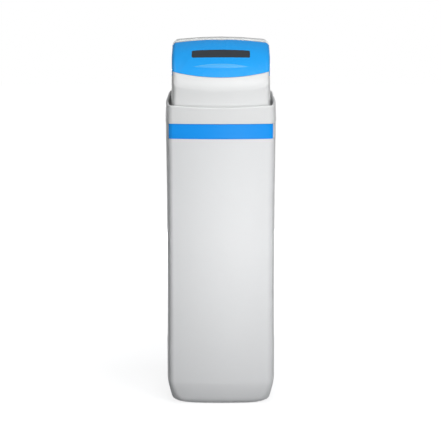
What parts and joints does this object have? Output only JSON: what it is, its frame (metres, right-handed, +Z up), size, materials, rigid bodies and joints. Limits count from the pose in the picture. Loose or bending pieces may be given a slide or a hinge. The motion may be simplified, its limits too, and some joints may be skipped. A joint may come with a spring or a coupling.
{
  "type": "water softener",
  "caption": "Tall cabinet water softener: a white salt cabinet with a collar, a blue trim band, a hinged blue lid with a smoked window, and a resin tank with its control valve inside.",
  "frame": {"origin": "centre of the cabinet's base, on the floor", "axes": "+Z up, +X to the right seen from the front, +Y to the back"},
  "size_m": [0.34, 0.5299, 1.1143],
  "materials": {
    "cabinet": "satin",
    "trim_band": "gloss",
    "trim_ring": "satin",
    "collar": "satin",
    "hood": "satin",
    "hood_screws": "satin",
    "cable_grommet": "matt",
    "lid": "gloss",
    "lid_window": "gloss",
    "hinge_pins": "satin",
    "pressure_tank": "satin",
    "tank_boot": "satin",
    "resin_bed": "matt",
    "riser_tube": "satin",
    "bottom_basket": "satin",
    "top_basket": "satin",
    "tank_o_ring": "matt",
    "valve_body": "satin",
    "seal_stack": "satin",
    "piston": "satin",
    "piston_retainer": "satin",
    "drive_bracket": "satin",
    "drive_motor": "satin",
    "motor_pinion": "satin",
    "drive_gear": "satin",
    "valve_cover": "satin",
    "display_lens": "gloss",
    "control_board": "satin",
    "button_set": "satin",
    "button_up": "satin",
    "button_down": "satin",
    "button_regenerate": "satin",
    "meter_spider": "satin",
    "meter_turbine": "satin",
    "injector_cap": "satin",
    "drain_elbow": "satin",
    "brine_elbow": "satin",
    "bypass_body": "satin",
    "inlet_handle": "gloss",
    "outlet_handle": "gloss",
    "inlet_connector": "satin",
    "outlet_connector": "satin",
    "brine_well": "satin",
    "brine_well_cap": "satin",
    "float_valve": "satin",
    "float_rod": "satin",
    "float": "satin",
    "pickup_tube": "satin",
    "brine_tube": "satin",
    "salt_grid": "satin",
    "overflow_elbow": "satin",
    "overflow_gasket": "matt",
    "overflow_nut": "satin"
  },
  "bodies": {
    "housing": {"cabinet": "cabinet", "trim_band": "trim_band", "trim_ring": "trim_ring", "collar": "collar", "hood": "hood", "hood_screws": "hood_screws", "cable_grommet": "cable_grommet", "hinge_pins": "hinge_pins", "pressure_tank": "pressure_tank", "tank_boot": "tank_boot", "resin_bed": "resin_bed", "riser_tube": "riser_tube", "bottom_basket": "bottom_basket", "top_basket": "top_basket", "tank_o_ring": "tank_o_ring", "valve_body": "valve_body", "seal_stack": "seal_stack", "piston_retainer": "piston_retainer", "drive_bracket": "drive_bracket", "drive_motor": "drive_motor", "valve_cover": "valve_cover", "display_lens": "display_lens", "control_board": "control_board", "meter_spider": "meter_spider", "injector_cap": "injector_cap", "drain_elbow": "drain_elbow", "brine_elbow": "brine_elbow", "bypass_body": "bypass_body", "inlet_connector": "inlet_connector", "outlet_connector": "outlet_connector", "brine_well": "brine_well", "float_valve": "float_valve", "pickup_tube": "pickup_tube", "brine_tube": "brine_tube", "salt_grid": "salt_grid", "overflow_elbow": "overflow_elbow", "overflow_gasket": "overflow_gasket", "overflow_nut": "overflow_nut"},
    "lid": {"lid": "lid", "lid_window": "lid_window"},
    "piston": {"piston": "piston"},
    "drive_gear": {"drive_gear": "drive_gear"},
    "motor_pinion": {"motor_pinion": "motor_pinion"},
    "button_set": {"button_set": "button_set"},
    "button_up": {"button_up": "button_up"},
    "button_down": {"button_down": "button_down"},
    "button_regenerate": {"button_regenerate": "button_regenerate"},
    "inlet_handle": {"inlet_handle": "inlet_handle"},
    "outlet_handle": {"outlet_handle": "outlet_handle"},
    "brine_well_cap": {"brine_well_cap": "brine_well_cap"},
    "float": {"float": "float", "float_rod": "float_rod"},
    "meter_turbine": {"meter_turbine": "meter_turbine"}
  },
  "joints": [
    {"name": "lid_hinge", "type": "hinge", "parent": "housing", "child": "lid", "pos_m": [0, 0.007, 1.086], "axis": [-1, 0, 0], "range_deg": [0, 90]},
    {"name": "drive_gear_turn", "type": "hinge", "parent": "housing", "child": "drive_gear", "pos_m": [0, 0.016, 0.962], "axis": [0, 1, 0], "range_deg": [0, 1080]},
    {"name": "piston_stroke", "type": "slide", "parent": "housing", "child": "piston", "axis": [0, 1, 0], "range_m": [0, 0.0361]},
    {"name": "motor_pinion_turn", "type": "hinge", "parent": "housing", "child": "motor_pinion", "pos_m": [0.02991, 0.016, 0.99191], "axis": [0, 1, 0], "range_deg": [-7560, 0]},
    {"name": "button_set_press", "type": "slide", "parent": "housing", "child": "button_set", "axis": [0, 1, 0], "range_m": [0, 0.0015], "stiffness_N_per_m": 400},
    {"name": "button_up_press", "type": "slide", "parent": "housing", "child": "button_up", "axis": [0, 1, 0], "range_m": [0, 0.0015], "stiffness_N_per_m": 400},
    {"name": "button_down_press", "type": "slide", "parent": "housing", "child": "button_down", "axis": [0, 1, 0], "range_m": [0, 0.0015], "stiffness_N_per_m": 400},
    {"name": "button_regenerate_press", "type": "slide", "parent": "housing", "child": "button_regenerate", "axis": [0, 1, 0], "range_m": [0, 0.0015], "stiffness_N_per_m": 400},
    {"name": "inlet_handle_turn", "type": "hinge", "parent": "housing", "child": "inlet_handle", "pos_m": [-0.035, 0.19, 0.996], "axis": [0, 0, 1], "range_deg": [0, 90]},
    {"name": "outlet_handle_turn", "type": "hinge", "parent": "housing", "child": "outlet_handle", "pos_m": [0.035, 0.19, 0.996], "axis": [0, 0, 1], "range_deg": [0, 90]},
    {"name": "well_cap_lift", "type": "slide", "parent": "housing", "child": "brine_well_cap", "axis": [0, 0, 1], "range_m": [0, 0.055]},
    {"name": "float_lift", "type": "slide", "parent": "housing", "child": "float", "axis": [0, 0, 1], "range_m": [0, 0.036]},
    {"name": "meter_turbine_spin", "type": "hinge", "parent": "housing", "child": "meter_turbine", "pos_m": [0.035, 0.154, 0.962], "axis": [0, 1, 0], "continuous": true}
  ],
  "couplings": [
    {"joint": "piston_stroke", "follows": "drive_gear_turn", "m_per_rad": 0.0019099},
    {"joint": "motor_pinion_turn", "follows": "drive_gear_turn", "ratio": -6}
  ]
}
